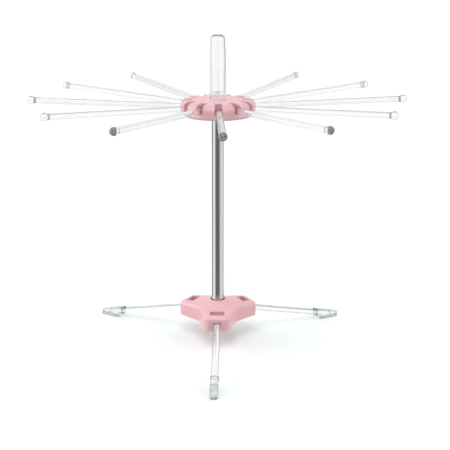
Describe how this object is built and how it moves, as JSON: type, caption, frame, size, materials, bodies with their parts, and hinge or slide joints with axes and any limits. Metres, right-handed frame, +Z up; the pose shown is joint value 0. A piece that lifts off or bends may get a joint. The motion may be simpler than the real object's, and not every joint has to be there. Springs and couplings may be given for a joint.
{
  "type": "pasta drying rack",
  "caption": "Folding rack for hanging fresh pasta: clear arms hinge from a pink crown on a steel column with fold-down legs and a lift-out wand.",
  "frame": {"origin": "on the column's axis, at the level of the soles", "axes": "+Z up along the column, -Y along the front leg"},
  "size_m": [0.4692, 0.4692, 0.3975],
  "materials": {
    "pink_plastic": "satin moulded",
    "clear_plastic": "clear polished",
    "clear_rubber": "clear satin",
    "column_steel": "polished",
    "screw_steel": "zinc plated",
    "plug_plastic": "moulded"
  },
  "bodies": {
    "stand": {"base_body": "pink_plastic", "base_cover": "pink_plastic", "base_cover_screws": "screw_steel", "column_tube": "column_steel", "column_plug": "plug_plastic", "column_screw": "screw_steel", "column_washer": "screw_steel", "hub_body": "pink_plastic", "hub_plate": "pink_plastic", "hub_screws": "screw_steel"},
    "front_leg": {"leg_front": "clear_plastic", "foot_front": "clear_rubber"},
    "right_leg": {"leg_right": "clear_plastic", "foot_right": "clear_rubber"},
    "left_leg": {"leg_left": "clear_plastic", "foot_left": "clear_rubber"},
    "folding_arm_01": {"arm_01": "clear_plastic"},
    "folding_arm_02": {"arm_02": "clear_plastic"},
    "folding_arm_03": {"arm_03": "clear_plastic"},
    "folding_arm_04": {"arm_04": "clear_plastic"},
    "folding_arm_05": {"arm_05": "clear_plastic"},
    "folding_arm_06": {"arm_06": "clear_plastic"},
    "folding_arm_07": {"arm_07": "clear_plastic"},
    "folding_arm_08": {"arm_08": "clear_plastic"},
    "folding_arm_09": {"arm_09": "clear_plastic"},
    "folding_arm_10": {"arm_10": "clear_plastic"},
    "folding_arm_11": {"arm_11": "clear_plastic"},
    "folding_arm_12": {"arm_12": "clear_plastic"},
    "wand": {"wand_handle": "clear_plastic", "wand_rod": "clear_plastic"}
  },
  "joints": [
    {"name": "front_leg_fold", "type": "hinge", "parent": "stand", "child": "front_leg", "pos_m": [0, -0.03775, 0.03901], "axis": [1, 0, 0], "range_deg": [0, 76]},
    {"name": "right_leg_fold", "type": "hinge", "parent": "stand", "child": "right_leg", "pos_m": [0.03269, 0.01887, 0.03901], "axis": [-0.5, 0.866, 0], "range_deg": [0, 76]},
    {"name": "left_leg_fold", "type": "hinge", "parent": "stand", "child": "left_leg", "pos_m": [-0.03269, 0.01887, 0.03901], "axis": [-0.5, -0.866, 0], "range_deg": [0, 76]},
    {"name": "arm_01_fold", "type": "hinge", "parent": "stand", "child": "folding_arm_01", "pos_m": [0.00171, -0.03496, 0.30946], "axis": [-0.9988, -0.0489, 0], "range_deg": [0, 91.5]},
    {"name": "arm_02_fold", "type": "hinge", "parent": "stand", "child": "folding_arm_02", "pos_m": [0.01896, -0.02942, 0.30946], "axis": [-0.8406, -0.5417, 0], "range_deg": [0, 91.5]},
    {"name": "arm_03_fold", "type": "hinge", "parent": "stand", "child": "folding_arm_03", "pos_m": [0.03113, -0.016, 0.30946], "axis": [-0.4571, -0.8894, 0], "range_deg": [0, 91.5]},
    {"name": "arm_04_fold", "type": "hinge", "parent": "stand", "child": "folding_arm_04", "pos_m": [0.03496, 0.00171, 0.30946], "axis": [0.0489, -0.9988, 0], "range_deg": [0, 91.5]},
    {"name": "arm_05_fold", "type": "hinge", "parent": "stand", "child": "folding_arm_05", "pos_m": [0.02942, 0.01896, 0.30946], "axis": [0.5417, -0.8406, 0], "range_deg": [0, 91.5]},
    {"name": "arm_06_fold", "type": "hinge", "parent": "stand", "child": "folding_arm_06", "pos_m": [0.016, 0.03113, 0.30946], "axis": [0.8894, -0.4571, 0], "range_deg": [0, 91.5]},
    {"name": "arm_07_fold", "type": "hinge", "parent": "stand", "child": "folding_arm_07", "pos_m": [-0.00171, 0.03496, 0.30946], "axis": [0.9988, 0.0489, 0], "range_deg": [0, 91.5]},
    {"name": "arm_08_fold", "type": "hinge", "parent": "stand", "child": "folding_arm_08", "pos_m": [-0.01896, 0.02942, 0.30946], "axis": [0.8406, 0.5417, 0], "range_deg": [0, 91.5]},
    {"name": "arm_09_fold", "type": "hinge", "parent": "stand", "child": "folding_arm_09", "pos_m": [-0.03113, 0.016, 0.30946], "axis": [0.4571, 0.8894, 0], "range_deg": [0, 91.5]},
    {"name": "arm_10_fold", "type": "hinge", "parent": "stand", "child": "folding_arm_10", "pos_m": [-0.03496, -0.00171, 0.30946], "axis": [-0.0489, 0.9988, 0], "range_deg": [0, 91.5]},
    {"name": "arm_11_fold", "type": "hinge", "parent": "stand", "child": "folding_arm_11", "pos_m": [-0.02942, -0.01896, 0.30946], "axis": [-0.5417, 0.8406, 0], "range_deg": [0, 91.5]},
    {"name": "arm_12_fold", "type": "hinge", "parent": "stand", "child": "folding_arm_12", "pos_m": [-0.016, -0.03113, 0.30946], "axis": [-0.8894, 0.4571, 0], "range_deg": [0, 91.5]},
    {"name": "wand_lift", "type": "slide", "parent": "stand", "child": "wand", "axis": [0, 0, 1], "range_m": [0, 0.24]}
  ]
}
